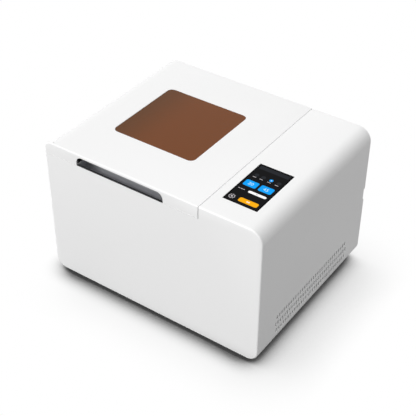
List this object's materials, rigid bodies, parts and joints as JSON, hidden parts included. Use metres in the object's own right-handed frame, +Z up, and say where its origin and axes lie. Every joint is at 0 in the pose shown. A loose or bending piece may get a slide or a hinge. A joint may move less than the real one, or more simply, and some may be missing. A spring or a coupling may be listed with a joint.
{
  "type": "dental lab light curing unit",
  "caption": "Tabletop light curing box with a hinged lid, square amber window, turntable in a lit chamber, slotted side vents and a flush touch screen beside the lid.",
  "frame": {"origin": "centre of the bounding box in plan, on the surface that the feet stand on", "axes": "+Z up, the front panel with the finger notch faces -Y, the control section is on +X"},
  "size_m": [0.366, 0.2964, 0.238],
  "materials": {
    "white_paint": "satin",
    "grey_paint": "satin",
    "zinc_plate": "satin",
    "polished_liner": "polished",
    "aluminium_sink": "anodised",
    "amber_acrylic": "clear tinted",
    "black_plastic": "matt",
    "recess_plastic": "matt",
    "gasket_rubber": "matt",
    "foot_rubber": "matt",
    "board_white": "semi-matt",
    "board_green": "semi-gloss",
    "emitter_resin": "gloss",
    "screen_black": "gloss",
    "brass": "satin",
    "spring_steel": "satin",
    "ribbon_plastic": "matt"
  },
  "bodies": {
    "housing": {"front_panel": "white_paint", "right_cover": "white_paint", "left_cover": "white_paint", "rear_panel": "grey_paint", "base_plate": "zinc_plate", "inner_deck": "white_paint", "finger_recess": "recess_plastic", "chamber_liner": "polished_liner", "light_board_rear": "board_white", "light_board_left": "board_white", "light_board_front": "board_white", "light_board_right": "board_white", "emitters_rear": "emitter_resin", "emitters_left": "emitter_resin", "emitters_front": "emitter_resin", "emitters_right": "emitter_resin", "heat_sink_rear": "aluminium_sink", "heat_sink_left": "aluminium_sink", "heat_sink_front": "aluminium_sink", "heat_sink_right": "aluminium_sink", "turntable_motor": "zinc_plate", "motor_bracket": "zinc_plate", "power_supply": "zinc_plate", "control_board": "board_green", "driver_board": "board_green", "board_standoffs": "brass", "ribbon_cable": "ribbon_plastic", "screen_glass": "screen_black", "display_module": "black_plastic", "display_bracket": "zinc_plate", "chamber_fan_frame": "black_plastic", "exhaust_fan_frame": "black_plastic", "power_inlet": "black_plastic", "inlet_pins": "brass", "switch_housing": "black_plastic", "lid_switch": "black_plastic", "hinge_housing_leaves": "spring_steel", "hinge_pins": "spring_steel", "foot_front_left": "foot_rubber", "foot_front_right": "foot_rubber", "foot_rear_left": "foot_rubber", "foot_rear_right": "foot_rubber", "rear_screws": "spring_steel", "base_screws": "spring_steel", "fan_screws": "spring_steel"},
    "lid": {"lid_shell": "white_paint", "lid_window": "amber_acrylic", "window_retainer": "black_plastic", "lid_liner": "polished_liner", "lid_seal": "gasket_rubber", "lid_magnet": "spring_steel", "hinge_lid_leaves": "spring_steel"},
    "turntable": {"turntable_plate": "polished_liner", "turntable_hub": "black_plastic", "motor_shaft": "spring_steel"},
    "chamber_fan": {"chamber_fan_impeller": "black_plastic"},
    "exhaust_fan": {"exhaust_fan_impeller": "black_plastic"},
    "rocker": {"rocker_button": "black_plastic"}
  },
  "joints": [
    {"name": "lid_hinge", "type": "hinge", "parent": "housing", "child": "lid", "pos_m": [-0.05022, 0.14475, 0.2184], "axis": [-1, 0, 0], "range_deg": [0, 80]},
    {"name": "turntable_spin", "type": "hinge", "parent": "housing", "child": "turntable", "pos_m": [-0.05022, -0.00175, 0.076], "axis": [0, 0, 1], "continuous": true},
    {"name": "chamber_fan_spin", "type": "hinge", "parent": "housing", "child": "chamber_fan", "pos_m": [-0.05022, 0.13975, 0.1397], "axis": [0, 1, 0], "continuous": true},
    {"name": "exhaust_fan_spin", "type": "hinge", "parent": "housing", "child": "exhaust_fan", "pos_m": [0.13323, 0.13975, 0.148], "axis": [0, 1, 0], "continuous": true},
    {"name": "mains_rocker", "type": "hinge", "parent": "housing", "child": "rocker", "pos_m": [0.10923, 0.13975, 0.058], "axis": [1, 0, 0], "range_deg": [0, 16]}
  ]
}
